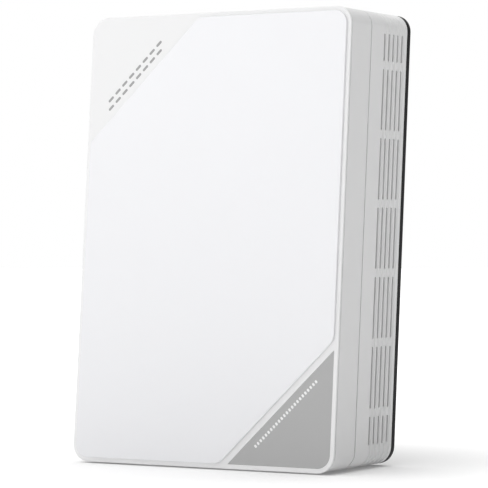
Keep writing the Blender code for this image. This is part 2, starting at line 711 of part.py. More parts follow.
def lead_route(start, end, steps=8):
    """A smooth S from the board's front face, leaving along depth and arriving along its bow."""
    points = []
    for step in range(steps + 1):
        t = step / steps
        ease = t * t * (3 - 2 * t)
        point = Vector(start).lerp(Vector(end), ease)
        point.y = start[1] + (end[1] - start[1]) * math.sin(math.pi / 2 * t)
        points.append(point)
    return points


def make_aerials():
    depth = AERIAL_END - AERIAL_START
    middle = (AERIAL_END + AERIAL_START) / 2
    board_depth = DEPTH + BOARD_FRONT / math.cos(LEAN) - 0.6 * MM
    for side, sign in (("left", -1), ("right", 1)):
        for level, height in (("lower", 55 * MM), ("upper", 135 * MM)):
            centre = (sign * SIDE_AERIAL_X, middle, height)
            mesh = box((AERIAL_THICKNESS, depth, 60 * MM), centre)
            shell_object(f"cell_aerial_{level}_{side}", mesh, BOARD_WHITE)
            reach = SIDE_AERIAL_X - AERIAL_THICKNESS / 2 - LEAD_RADIUS - GAP
            start = (sign * 48 * MM, board_depth, height)
            end = (sign * reach, middle, height + 10 * MM)
            make_lead(f"cell_lead_{level}_{side}", lead_route(start, end))
        centre = (sign * 27 * MM, middle, TOP_AERIAL_HEIGHT)
        mesh = box((36 * MM, depth, AERIAL_THICKNESS), centre)
        shell_object(f"wifi_aerial_{side}", mesh, BOARD_WHITE)
        reach = TOP_AERIAL_HEIGHT - AERIAL_THICKNESS / 2 - LEAD_RADIUS - GAP
        start = (sign * 24 * MM, board_depth, 156 * MM)
        end = (sign * 30 * MM, middle, reach)
        make_lead(f"wifi_lead_{side}", lead_route(start, end))


clear_scene()
PARTS = new_collection("desktop_router")
CUTTERS = new_collection("cutters")

BACK_FRAME = bpy.data.objects.new("back_frame", None)
BACK_FRAME.location = SHELL_TO_WORLD @ Vector((0, DEPTH, 0))
BACK_FRAME.rotation_euler = (-LEAN, 0, 0)
PARTS.objects.link(BACK_FRAME)

WHITE_SATIN = new_material("white_satin_plastic", (0.8, 0.8, 0.8), 0.45)
WHITE_GLOSS = new_material("white_gloss_plastic", (0.86, 0.86, 0.87), 0.12)
GREY_SATIN = new_material("grey_satin_plastic", (0.42, 0.42, 0.42), 0.4)
BLACK_SATIN = new_material("black_satin_plastic", (0.02, 0.02, 0.022), 0.5)
BLACK_GLOSS = new_material("black_gloss_plastic", (0.015, 0.015, 0.015), 0.3)
RUBBER = new_material("black_rubber", (0.015, 0.015, 0.015), 0.8)
BOARD_GREEN = new_material("green_circuit_board", (0.03, 0.16, 0.07), 0.4)
BOARD_WHITE = new_material("white_aerial_board", (0.75, 0.73, 0.66), 0.5)
STEEL = new_material("tinned_steel", (0.6, 0.6, 0.58), 0.3, 1.0)
ALUMINIUM = new_material("aluminium", (0.7, 0.7, 0.72), 0.35, 1.0)
GOLD = new_material("gold_plated_contact", (0.8, 0.6, 0.25), 0.25, 1.0)
CHIP_BLACK = new_material("chip_package", (0.03, 0.03, 0.03), 0.6)
PAD_GREY = new_material("thermal_pad", (0.35, 0.4, 0.45), 0.8)
CLEAR = new_material("clear_acrylic", (0.9, 0.9, 0.9), 0.1)
LEAD_GREY = new_material("coaxial_lead", (0.12, 0.12, 0.12), 0.5)

make_front()
make_front_housing()
make_rear_housing()
make_rear_cover()
make_feet()
make_board()
make_shield("modem_shield", (44 * MM, 4.6 * MM, 34 * MM), -20 * MM, 112 * MM)
make_shield("radio_shield", (32 * MM, 4.6 * MM, 30 * MM), 26 * MM, 112 * MM)
make_heatsink()
make_network_jacks()
make_power_inlet()
make_button("power_button", 4.9, 1.2 * MM, -8.6 * MM, (POWER_X, POWER_BUTTON_V), 12 * MM)
make_button("pairing_button", 3.3, 0.6 * MM, -8.6 * MM, (BUTTON_X, PORT_ROW), 6 * MM)
make_reset()
make_door("sim_door", SIM_DOOR, SIM_V)
make_sim_reader()
make_door("aerial_door", AERIAL_DOOR, AERIAL_V)
make_aerial_sockets()
make_light_guide()
make_screws()
make_aerial_frame()
make_aerials()
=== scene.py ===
"""Looks for a leaning desktop router: shells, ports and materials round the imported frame.

Shell pieces are drawn as (x, height) outlines at a depth behind the front face, and leaned back
as the casing is. Pieces behind the rear cover are drawn in the back frame (x, u, v): u is square
to the rear face, zero on it and negative inside, and v runs up that face.
"""

import json
import math

import bmesh
import bpy
from mathutils import Matrix, Vector


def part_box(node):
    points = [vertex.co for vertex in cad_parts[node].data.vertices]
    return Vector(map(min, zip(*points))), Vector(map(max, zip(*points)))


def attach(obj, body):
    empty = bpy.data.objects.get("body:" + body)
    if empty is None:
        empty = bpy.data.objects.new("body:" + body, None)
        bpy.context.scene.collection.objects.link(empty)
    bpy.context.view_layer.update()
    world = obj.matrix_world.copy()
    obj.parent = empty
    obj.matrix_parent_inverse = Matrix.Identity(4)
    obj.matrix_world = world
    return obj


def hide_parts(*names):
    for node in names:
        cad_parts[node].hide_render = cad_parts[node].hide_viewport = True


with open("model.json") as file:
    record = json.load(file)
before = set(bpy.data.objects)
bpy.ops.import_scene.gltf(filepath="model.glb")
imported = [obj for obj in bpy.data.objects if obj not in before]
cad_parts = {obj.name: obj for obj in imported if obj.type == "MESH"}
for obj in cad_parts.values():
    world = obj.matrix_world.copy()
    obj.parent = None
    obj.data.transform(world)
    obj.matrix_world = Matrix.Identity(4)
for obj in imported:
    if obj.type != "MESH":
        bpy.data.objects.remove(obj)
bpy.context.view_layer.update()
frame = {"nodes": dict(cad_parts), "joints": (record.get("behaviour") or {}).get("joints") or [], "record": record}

MM = 0.001

# The casing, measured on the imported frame.
FRAME_LOW, FRAME_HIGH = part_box("front_frame")
WIDTH = FRAME_HIGH.x - FRAME_LOW.x
HEIGHT = FRAME_HIGH.z - FRAME_LOW.z
FOOT_LIFT = FRAME_LOW.z
PRESS_AXIS = Vector(frame["joints"][0]["axis"])
LEAN = math.atan2(PRESS_AXIS.z, -PRESS_AXIS.y)
FRAME_EDGE = 0.4 * MM
FRONT_Y = FRAME_LOW.y - FRAME_EDGE * math.tan(LEAN)
DEPTH = 56.7 * MM
CORNER_RADIUS = 8 * MM
GAP = 0.3 * MM

# Smoothness of arcs.
ARC_STEPS = 16
ROUND_STEPS = 48
EDGE_STEPS = 6

# Front: a frame with a thin visible edge, and a panel that stands proud of it.
FLANGE_BACK = 0.6 * MM
FRAME_NECK = 0.9 * MM
FRAME_BACK = 1.4 * MM
PANEL_RISE = 0.9 * MM
PANEL_INSET = 2 * MM
PANEL_EDGE = 0.35 * MM
PANEL_BOSS = 0.7 * MM
PANEL_BACK = 2.6 * MM
PANEL_CUT = 58.6 * MM
PANEL_FILLET = 7.5 * MM
BADGE_FRONT = 0.1 * MM
BADGE_INSET = 2.1 * MM
BADGE_CUT = 54.4 * MM
SOFT_CORNER = 1.2 * MM
HAIRLINE = 0.04 * MM
LIP = 0.12 * MM
FLAT_MARGIN = 0.05 * MM

# Casing shells, as depths behind the front face.
BODY_INSET = 0.3 * MM
WALL = 2.4 * MM
FRONT_WALL_START = 1.7 * MM
POCKET_FLOOR = 2.9 * MM
FRONT_WALL_END = 5.1 * MM
SEAM_FRONT = 18.9 * MM
SEAM_BACK = 19.6 * MM
COVER_FRONT = 53.4 * MM
SHELL_EDGE = 0.25 * MM
SEAM_EDGE = 0.3 * MM
COVER_EDGE = 0.8 * MM
FOOT_CORNER = 3.9 * MM
FOOT_EDGE = 0.3 * MM
TONGUE_REACH = 2.4 * MM
TONGUE_WALL = 1 * MM

# Grooves round the rear shell, and the vent slots in their floors.
GROOVE_COUNT = 5
FIRST_GROOVE = 32.7 * MM
GROOVE_PITCH = 4.12 * MM
GROOVE_DEPTH = 0.6 * MM
GROOVE_FLOOR = 1.9 * MM
GROOVE_MOUTH = 3.6 * MM
SLOT_WIDTH = 1.6 * MM
SLOT_LENGTH = 27 * MM
SLOT_BRIDGE = 3.4 * MM
END_SLOT_LENGTH = 12.3 * MM
SLOT_ROWS = 7

# Circuit board and the things behind the rear cover, in the back frame.
COVER_INNER = -3 * MM
BOARD_REAR = -19.1 * MM
BOARD_THICKNESS = 1.6 * MM
ON_BOARD = BOARD_REAR + GAP
UNDER_BOARD = BOARD_REAR - BOARD_THICKNESS - GAP
POST_RADIUS = 3 * MM
POST_BORE = 1.45 * MM
POST_BORE_DEPTH = 7.5 * MM
BOSS_RADIUS = 4 * MM
BOSS_START = -14 * MM
BOSS_BORE = 1.55 * MM
BOSS_BORE_START = -12.5 * MM
BOARD_SCREW_X = 46 * MM
BOARD_SCREW_V = (11.5 * MM, 155 * MM)
CASE_SCREW_X = 60.5 * MM
CASE_SCREW_V = (8.3 * MM, 192 * MM)
PORT_ROW = 22 * MM
JACK_FACE = -0.6 * MM
JACK_X = (20 * MM, 0, -20 * MM)
JACK_WIDTH = 16 * MM
JACK_HEIGHT = 14 * MM
JACK_SLOT_DEPTH = 12.5 * MM
JACK_LIGHT_X = 5.7 * MM
JACK_LIGHT_V = 5.9 * MM
POWER_X = 44 * MM
POWER_BUTTON_V = 44 * MM
BUTTON_X = -43 * MM
POWER_BUTTON_PLACE = (POWER_X, 0, POWER_BUTTON_V)
PAIRING_BUTTON_PLACE = (BUTTON_X, 0, PORT_ROW)
BUTTON_STEM_END = -8.6 * MM
RESET_V = 38 * MM
SIM_V = 53 * MM
AERIAL_V = 172 * MM
LIGHT_GUIDE_V = PORT_ROW + 4 * MM
LIGHT_GUIDE_BORE = 1.5 * MM
VENT_X = 21 * MM
VENT_SIZE = (34 * MM, 2 * MM)
VENT_ROWS = 9
VENT_PITCH = 6.5 * MM
LOWEST_VENT = 82 * MM
PROCESSOR_V = 109 * MM

# Doors behind which the SIM reader and the aerial sockets lie, in the back frame.
DOOR_FRONT = -1.35 * MM
DOOR_BACK = -0.15 * MM
DOOR_PIVOT_U = -0.75 * MM
DOOR_PIVOT_V = 0.9 * MM
DOOR_CLEARANCE = 0.35 * MM
DOOR_RECESS = -2 * MM
DOOR_PIN = 0.45 * MM
PIN_PLAY = 0.15 * MM
PIN_REACH = 0.95 * MM
PIN_HOLE_REACH = 1.8 * MM
WINDOW_TOP = 1.6 * MM
SIM_DOOR = (30 * MM, 19 * MM)
SIM_WINDOW = (26 * MM, 12.5 * MM)
AERIAL_DOOR = (34 * MM, 13 * MM)
AERIAL_WINDOW = (29 * MM, 8.4 * MM)

TO_WORLD = Matrix.Identity(4)
TO_WORLD[1][2] = math.tan(LEAN)
TO_WORLD.translation = (0, FRONT_Y, FOOT_LIFT)
REAR_FOOT = TO_WORLD @ Vector((0, DEPTH, 0))
BACK_TO_WORLD = Matrix.Translation(REAR_FOOT) @ Matrix.Rotation(-LEAN, 4, "X")


# Materials.

def shader_links(material):
    material.use_nodes = True
    tree = material.node_tree
    return tree.nodes, tree.links, tree.nodes["Principled BSDF"]


def object_noise(nodes, links, scale, detail=2.0, stretch=(1, 1, 1)):
    """Noise in the object's own metres, so that it stays on the surface in every pose."""
    place = nodes.new("ShaderNodeTexCoord")
    mapping = nodes.new("ShaderNodeMapping")
    mapping.inputs["Scale"].default_value = stretch
    noise = nodes.new("ShaderNodeTexNoise")
    noise.inputs["Scale"].default_value = scale
    noise.inputs["Detail"].default_value = detail
    links.new(place.outputs["Object"], mapping.inputs["Vector"])
    links.new(mapping.outputs["Vector"], noise.inputs["Vector"])
    return noise.outputs["Fac"]


def ramp(nodes, links, source, start, end, low, high, target, curve="SMOOTHSTEP"):
    """Feeds a source into a socket, from low at its start value to high at its end value."""
    spread = nodes.new("ShaderNodeMapRange")
    spread.interpolation_type = curve
    spread.inputs["From Min"].default_value = start
    spread.inputs["From Max"].default_value = end
    spread.inputs["To Min"].default_value = low
    spread.inputs["To Max"].default_value = high
    links.new(source, spread.inputs["Value"])
    links.new(spread.outputs["Result"], target)


def vary(nodes, links, noise, low, high, target):
    """Feeds a noise into a socket between two values."""
    ramp(nodes, links, noise, 0.3, 0.7, low, high, target, "LINEAR")


def moulded(name, colour, roughness, grain=2500, relief=4e-6, spread=0.06, metallic=0.0,
            tint=0.03, specular=0.5):
    """Moulded plastic or metal: fine surface grain, and slow changes in gloss and in shade."""
    material = bpy.data.materials.new(name)
    nodes, links, shader = shader_links(material)
    shader.inputs["Metallic"].default_value = metallic
    slow = object_noise(nodes, links, 60, 3)
    vary(nodes, links, slow, roughness - spread, roughness + spread, shader.inputs["Roughness"])
    shade = nodes.new("ShaderNodeMix")
    shade.data_type = "RGBA"
    shade.inputs["A"].default_value = (*[c * (1 - tint) for c in colour], 1)
    shade.inputs["B"].default_value = (*[min(1, c * (1 + tint)) for c in colour], 1)
    links.new(object_noise(nodes, links, 35, 2), shade.inputs["Factor"])
    links.new(shade.outputs["Result"], shader.inputs["Base Color"])
    shader.inputs["Specular IOR Level"].default_value = specular
    bump = nodes.new("ShaderNodeBump")
    bump.inputs["Distance"].default_value = relief
    links.new(object_noise(nodes, links, grain, 3), bump.inputs["Height"])
    links.new(bump.outputs["Normal"], shader.inputs["Normal"])
    return material


WHITE_FRAME = moulded("white_frame_satin", (0.855, 0.855, 0.858), 0.32, spread=0.015, tint=0.002)
# The side shells' white is darker than the frame's. Part of that is the sides' own tone, and part is painted shade
# standing in for the shade that falls on the casing's sides.
SIDE_WHITE_WITH_PAINTED_SHADE = moulded("side_white_satin_with_painted_shade", (0.79, 0.79, 0.792), 0.42, relief=8e-6, spread=0.03,
                     tint=0.004)
WHITE_GLOSS = moulded("white_gloss_panel", (0.872, 0.874, 0.893), 0.2, 40, 3e-5, 0.02, tint=0.002)
GREY_BADGE = moulded("grey_badge_satin", (0.437, 0.437, 0.437), 0.35, spread=0.03, tint=0.01)
DARK_PLASTIC = moulded("dark_textured_plastic", (0.011, 0.011, 0.012), 0.55, 1800, 2.5e-5,
                       tint=0.1, specular=0.15)
DARK_SATIN = moulded("dark_satin_plastic", (0.025, 0.025, 0.027), 0.35, tint=0.1)
RUBBER = moulded("black_rubber", (0.014, 0.014, 0.014), 0.8, 900, 4e-5, tint=0.2)
GREY_INK = moulded("grey_ink", (0.35, 0.35, 0.35), 0.4)
WHITE_INK = moulded("white_ink", (0.9, 0.9, 0.9), 0.4)
STEEL = moulded("zinc_plated_steel", (0.56, 0.56, 0.57), 0.32, 900, 1e-5, 0.08, 1.0)
TINNED = moulded("tinned_steel_sheet", (0.62, 0.62, 0.6), 0.28, 500, 8e-6, 0.08, 1.0)
ALUMINIUM = moulded("extruded_aluminium", (0.7, 0.7, 0.72), 0.36, 1200, 1.2e-5, 0.08, 1.0)
GOLD = moulded("gold_contact", (0.83, 0.62, 0.27), 0.22, 900, 4e-6, 0.05, 1.0)
CHIP_BLACK = moulded("chip_package", (0.028, 0.028, 0.028), 0.55, 2200, 1.2e-5, tint=0.15)
CAPACITOR = moulded("ceramic_capacitor", (0.42, 0.3, 0.18), 0.4, 1500, 6e-6, tint=0.1)
PAD_GREY = moulded("soft_thermal_pad", (0.35, 0.4, 0.45), 0.8, 900, 3e-5, tint=0.05)
JACK_BLACK = moulded("jack_plastic", (0.014, 0.014, 0.014), 0.28, 1500, 5e-6, tint=0.1)
INNER_WHITE = moulded("inner_white_plastic", (0.7, 0.7, 0.68), 0.5, 1800, 1e-5, tint=0.02)
LEAD_GREY = moulded("lead_jacket", (0.11, 0.11, 0.11), 0.45, 1500, 6e-6, tint=0.1)


def patterned(name, ground, ink, scale, height, mortar, metallic=0.0):
    """A circuit board: printed tracks of ink on a ground colour, which may be metal."""
    material = moulded(name, ground, 0.35, 900, 8e-6, tint=0.12)
    nodes, links, shader = shader_links(material)
    place = nodes.new("ShaderNodeTexCoord")
    level = nodes.new("ShaderNodeMapping")
    level.inputs["Rotation"].default_value = (math.pi / 2, 0, 0)
    tracks = nodes.new("ShaderNodeTexBrick")
    tracks.inputs["Scale"].default_value = scale
    tracks.inputs["Brick Width"].default_value = 0.9
    tracks.inputs["Row Height"].default_value = height
    tracks.inputs["Mortar Size"].default_value = mortar
    links.new(place.outputs["Object"], level.inputs["Vector"])
    links.new(level.outputs["Vector"], tracks.inputs["Vector"])
    blend = nodes.new("ShaderNodeMix")
    blend.data_type = "RGBA"
    blend.inputs["B"].default_value = (*ink, 1)
    links.new(tracks.outputs["Fac"], blend.inputs["Factor"])
    links.new(shader.inputs["Base Color"].links[0].from_socket, blend.inputs["A"])
    links.new(blend.outputs["Result"], shader.inputs["Base Color"])
    if metallic:
        shine = nodes.new("ShaderNodeMath")
        shine.operation = "MULTIPLY"
        shine.inputs[1].default_value = metallic
        links.new(tracks.outputs["Fac"], shine.inputs[0])
        links.new(shine.outputs["Value"], shader.inputs["Metallic"])
    return material


def clear_plastic(name, colour):
    material = moulded(name, colour, 0.12, 900, 3e-6, 0.04)
    shader_links(material)[2].inputs["Transmission Weight"].default_value = 0.85
    return material


BOARD_GREEN = patterned("green_board", (0.03, 0.16, 0.07), (0.06, 0.26, 0.12), 260, 0.3, 0.06)
AERIAL_BOARD = patterned("aerial_board", (0.75, 0.73, 0.66), (0.7, 0.36, 0.18), 70, 0.35, 0.1,
                         metallic=0.9)
CLEAR = clear_plastic("clear_acrylic", (0.9, 0.9, 0.9))
GREEN_LENS = clear_plastic("green_lens", (0.3, 0.75, 0.35))


# Outlines, each a list of (x, height) points, counter-clockwise from the front.

def filleted_outline(corners, steps=ARC_STEPS):
    """A closed outline through (x, height, radius) corners, with an arc at each rounded one."""
    points = []
    for index, (x, height, radius) in enumerate(corners):
        corner = Vector((x, height))
        if radius <= 0:
            points.append(corner)
            continue
        back = (Vector(corners[index - 1][:2]) - corner).normalized()
        onward = (Vector(corners[(index + 1) % len(corners)][:2]) - corner).normalized()
        half = back.angle(onward) / 2
        centre = corner + (back + onward).normalized() * radius / math.sin(half)
        start = corner + back * radius / math.tan(half) - centre
        turn = -math.copysign(math.pi - 2 * half, back.cross(onward))
        for step in range(steps + 1):
            points.append(centre + Matrix.Rotation(turn * step / steps, 2) @ start)
    return points


def rectangle(width, height, radius=0, centre=(0, 0), steps=ARC_STEPS):
    x, y = centre
    corners = [(x + width / 2, y - height / 2), (x + width / 2, y + height / 2)]
    corners += [(x - width / 2, y + height / 2), (x - width / 2, y - height / 2)]
    return filleted_outline([(*corner, radius) for corner in corners], steps)


def circle(radius, steps=ROUND_STEPS):
    turns = [math.tau * step / steps for step in range(steps)]
    return [(radius * math.cos(turn), radius * math.sin(turn)) for turn in turns]


def body_outline(inset):
    radius = CORNER_RADIUS - inset
    return rectangle(WIDTH - 2 * inset, HEIGHT - 2 * inset, radius, (0, HEIGHT / 2))


def panel_outline(shrink):
    """The front panel: a rounded plate with two opposite corners cut at 45 degrees."""
    inset = PANEL_INSET + shrink
    right = WIDTH / 2 - inset
    top = HEIGHT - inset
    cut = PANEL_CUT - inset + shrink * math.sqrt(2)
    outer = WIDTH / 2
    round_corner = CORNER_RADIUS - inset
    corners = [
        (outer - cut, inset, PANEL_FILLET),
        (right, cut, PANEL_FILLET),
        (right, top, round_corner),
        (cut - outer, top, SOFT_CORNER),
        (-right, HEIGHT - cut, SOFT_CORNER),
        (-right, inset, round_corner),
    ]
    return filleted_outline(corners)


def badge_outline(shrink):
    """The triangle in the lower right corner of the front."""
    inset = BADGE_INSET + shrink
    right = WIDTH / 2 - inset
    cut = BADGE_CUT - inset - shrink * math.sqrt(2)
    corners = [
        (WIDTH / 2 - cut, inset, 0.12 * MM),
        (right, inset, CORNER_RADIUS - inset),
        (right, cut, 0.12 * MM),
    ]
    return filleted_outline(corners)


def lobed(radius, steps=ROUND_STEPS):
    """The six-lobed outline of a screw's driver recess."""
    turns = [math.tau * step / steps for step in range(steps)]
    radii = [radius * (1 + 0.2 * math.cos(6 * turn)) for turn in turns]
    return [(r * math.cos(turn), r * math.sin(turn)) for r, turn in zip(radii, turns)]


def rounding(radius, steps=EDGE_STEPS):
    """(inset, drop) pairs of a rounded edge, from its flat face round to its side."""
    pairs = []
    for step in range(steps + 1):
        angle = math.pi / 2 * step / steps
        pairs.append((radius * (1 - math.sin(angle)), radius * (1 - math.cos(angle))))
    return pairs


# Meshes and pieces.

def add_rings(mesh, loops):
    """Joins (outline, depth) pairs with equal point counts by quads, and returns the rings."""
    rings = [[mesh.verts.new((x, depth, h)) for x, h in outline] for outline, depth in loops]
    for near, far in zip(rings, rings[1:]):
        for index in range(len(near)):
            mesh.faces.new((near[index - 1], near[index], far[index], far[index - 1]))
    return rings


def fill_between(mesh, *rings):
    """Fills the flat region bounded by closed rings, with holes where a ring lies inside."""
    edges = []
    for ring in rings:
        for index in range(len(ring)):
            edges.append(mesh.edges.get((ring[index - 1], ring[index])))
    bmesh.ops.triangle_fill(mesh, edges=edges, use_beauty=True, use_dissolve=False)


def loft(loops, closed=False):
    mesh = bmesh.new()
    rings = add_rings(mesh, loops)
    if closed:
        first, last = rings[0], rings[-1]
        for index in range(len(first)):
            mesh.faces.new((last[index - 1], last[index], first[index], first[index - 1]))
    else:
        mesh.faces.new(rings[0])
        mesh.faces.new(rings[-1])
    return mesh


def prism(outline, start, end):
    return loft([(outline, start), (outline, end)])


def box(size, centre=(0, 0, 0), mesh=None):
    mesh = mesh or bmesh.new()
    matrix = Matrix.Translation(centre) @ Matrix.Diagonal((*size, 1))
    bmesh.ops.create_cube(mesh, size=1, matrix=matrix)
    return mesh


def turned(profile, steps=ROUND_STEPS):
    """A round solid along u from (radius, u) pairs."""
    return loft([(circle(radius, steps), u) for radius, u in profile])


def cylinder(radius, start, end, steps=ROUND_STEPS):
    return turned([(radius, start), (radius, end)], steps)


def tube(path, radius, steps=12, mesh=None):
    """A round wire along a path of points."""
    mesh = mesh or bmesh.new()
    path = [Vector(point) for point in path]
    rings = []
    for index, point in enumerate(path):
        onward = path[min(index + 1, len(path) - 1)] - path[max(index - 1, 0)]
        turn = onward.to_track_quat("Y", "X")
        ring = [point + turn @ Vector((x, 0, z)) for x, z in circle(radius, steps)]
        rings.append([mesh.verts.new(place) for place in ring])
    for near, far in zip(rings, rings[1:]):
        for index in range(steps):
            mesh.faces.new((near[index - 1], near[index], far[index], far[index - 1]))
    mesh.faces.new(rings[0])
    mesh.faces.new(rings[-1])
    return mesh


def across(outline, start, end):
    """A prism along x, from an outline in (depth, height)."""
    mesh = prism(outline, -end, -start)
    bmesh.ops.transform(mesh, matrix=Matrix.Rotation(math.pi / 2, 4, "Z"), verts=mesh.verts)
    return mesh


def lipped_cutter(outline, start, face, lip):
    """Cuts a hole with a rounded lip. The outline function takes how far it is grown."""
    loops = [(outline(0), start)]
    loops += [(outline(grow), face - drop) for grow, drop in reversed(rounding(lip))]
    loops.append((outline(lip), face + 1 * MM))
    return loft(loops)


def join(target, source):
    """Adds a bmesh to another one and frees it."""
    data = bpy.data.meshes.new("joined")
    source.to_mesh(data)
    source.free()
    target.from_mesh(data)
    bpy.data.meshes.remove(data)


def plain_object(name, mesh, matrix):
    bmesh.ops.transform(mesh, matrix=matrix, verts=mesh.verts)
    bmesh.ops.recalc_face_normals(mesh, faces=mesh.faces)
    data = bpy.data.meshes.new(name)
    mesh.to_mesh(data)
    mesh.free()
    obj = bpy.data.objects.new(name, data)
    bpy.context.scene.collection.objects.link(obj)
    return obj


def carve(obj, tools, operation="DIFFERENCE"):
    """Cuts tool objects out of obj, or joins them to it, and removes them."""
    for tool in tools:
        modifier = obj.modifiers.new(tool.name, "BOOLEAN")
        modifier.operation = operation
        modifier.solver = "EXACT"
        modifier.object = tool
    graph = bpy.context.evaluated_depsgraph_get()
    data = bpy.data.meshes.new_from_object(obj.evaluated_get(graph))
    obj.modifiers.clear()
    obj.data = data
    for tool in tools:
        bpy.data.objects.remove(tool, do_unlink=True)


def dress(obj, material, replaced=(), body="casing", sharp=35, weighted=False):
    """Gives a finished mesh its shading, material, body and the CAD nodes that it stands for."""
    obj.data.materials.clear()
    obj.data.materials.append(material)
    obj.data.shade_smooth()
    obj.data.set_sharp_from_angle(angle=math.radians(sharp))
    if weighted:
        modifier = obj.modifiers.new("Weighted normals", "WEIGHTED_NORMAL")
        modifier.keep_sharp = True
    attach(obj, body)
    if replaced:
        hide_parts(*replaced)
    return obj


def shell(name, mesh):
    return plain_object(name, mesh, TO_WORLD)


def behind(name, mesh, at=(0, 0, 0)):
    return plain_object(name, mesh, BACK_TO_WORLD @ Matrix.Translation(at))


# Front.

def make_frame():
    """The front frame: a thin rounded flange on a narrower neck, with windows in it."""
    mesh = bmesh.new()
    outside = [(body_outline(FRAME_EDGE + FLAT_MARGIN), 0)]
    outside += [(body_outline(inset), depth) for inset, depth in rounding(FRAME_EDGE, 10)]
    outside += [(body_outline(i), FLANGE_BACK - d) for i, d in reversed(rounding(LIP, 4))]
    outside += [(body_outline(FRAME_NECK), FLANGE_BACK), (body_outline(FRAME_NECK), FRAME_BACK)]
    panel_hole = [(panel_outline(PANEL_BOSS - LIP), depth) for depth in (0, FRAME_BACK)]
    badge_hole = []
    for grow, depth in [(LIP + FLAT_MARGIN, 0)] + rounding(LIP, 4) + [(0, FRAME_BACK)]:
        badge_hole.append((badge_outline(-HAIRLINE - grow), depth))
    rings = [add_rings(mesh, loops) for loops in (outside, panel_hole, badge_hole)]
    for end in (0, -1):
        fill_between(mesh, *[ring[end] for ring in rings])
    dress(shell("front_frame_shell", mesh), WHITE_FRAME, ["front_frame"])


def make_panel():
    loops = [(panel_outline(PANEL_EDGE + FLAT_MARGIN), -PANEL_RISE)]
    loops += [(panel_outline(grow), drop - PANEL_RISE) for grow, drop in rounding(PANEL_EDGE)]
    loops += [(panel_outline(0), -HAIRLINE), (panel_outline(PANEL_BOSS), -HAIRLINE)]
    loops.append((panel_outline(PANEL_BOSS), PANEL_BACK))
    dress(shell("gloss_panel", loft(loops)), WHITE_GLOSS, ["front_panel"])


def make_badge():
    loops = [(badge_outline(LIP + FLAT_MARGIN), BADGE_FRONT)]
    loops += [(badge_outline(grow), BADGE_FRONT + drop) for grow, drop in rounding(LIP, 4)]
    loops.append((badge_outline(0), PANEL_BACK))
    dress(shell("badge_plate", loft(loops)), GREY_BADGE, ["corner_badge"])


# Casing shells.

def make_front_housing():
    """A tray with pockets for the panel and the badge, and four posts for the circuit board."""
    inner = BODY_INSET + WALL
    loops = [(body_outline(inner), FRONT_WALL_START)]
    loops += [(body_outline(BODY_INSET + i), FRONT_WALL_START + d) for i, d in rounding(LIP)]
    seam = reversed(rounding(SEAM_EDGE))
    loops += [(body_outline(BODY_INSET + i), SEAM_FRONT - d) for i, d in seam]
    loops.append((body_outline(inner), SEAM_FRONT))
    loops.append((body_outline(inner), FRONT_WALL_END))
    tray = shell("front_housing_shell", loft(loops))
    posts = []
    holes = [shell("panel_pocket", prism(panel_outline(PANEL_BOSS - LIP), 0, POCKET_FLOOR))]
    holes.append(shell("badge_pocket", prism(badge_outline(-HAIRLINE), 0, POCKET_FLOOR)))
    wall_end = FRONT_WALL_END - DEPTH
    for x in (-BOARD_SCREW_X, BOARD_SCREW_X):
        for v in BOARD_SCREW_V:
            post = cylinder(POST_RADIUS, wall_end - 1 * MM, UNDER_BOARD)
            posts.append(behind("post", post, (x, 0, v)))
            bore = cylinder(POST_BORE, UNDER_BOARD - POST_BORE_DEPTH, UNDER_BOARD + 1 * MM)
            holes.append(behind("bore", bore, (x, 0, v)))
    guide = cylinder(LIGHT_GUIDE_BORE, -DEPTH, wall_end + 2 * MM)
    holes.append(behind("light_hole", guide, (0, 0, LIGHT_GUIDE_V)))
    carve(tray, posts, "UNION")
    carve(tray, holes)
    # The side white carries painted shade for the casing's shaded sides.
    dress(tray, SIDE_WHITE_WITH_PAINTED_SHADE, ["front_housing"], weighted=True)


def groove_profile():
    """(inset, depth) pairs over the outside of the rear shell, with soft-sided grooves."""
    outer = BODY_INSET
    points = []
    for number in range(GROOVE_COUNT):
        centre = FIRST_GROOVE + number * GROOVE_PITCH
        flank = (GROOVE_MOUTH - GROOVE_FLOOR) / 2
        down = []
        for step in range(EDGE_STEPS + 1):
            share = step / EDGE_STEPS
            sink = GROOVE_DEPTH * (1 - math.cos(math.pi * share)) / 2
            down.append((outer + sink, GROOVE_MOUTH / 2 - flank * share))
        points += [(inset, centre - reach) for inset, reach in down]
        points += [(inset, centre + reach) for inset, reach in reversed(down)]
    return points


def slot_rows():
    """(middle height, length) of each row of vent slots, from the lowest up."""
    rows = []
    lengths = [END_SLOT_LENGTH] + [SLOT_LENGTH] * (SLOT_ROWS - 2) + [END_SLOT_LENGTH]
    low = (HEIGHT - sum(lengths) - SLOT_BRIDGE * (SLOT_ROWS - 1)) / 2
    for length in lengths:
        rows.append((low + length / 2, length))
        low += length + SLOT_BRIDGE
    return rows


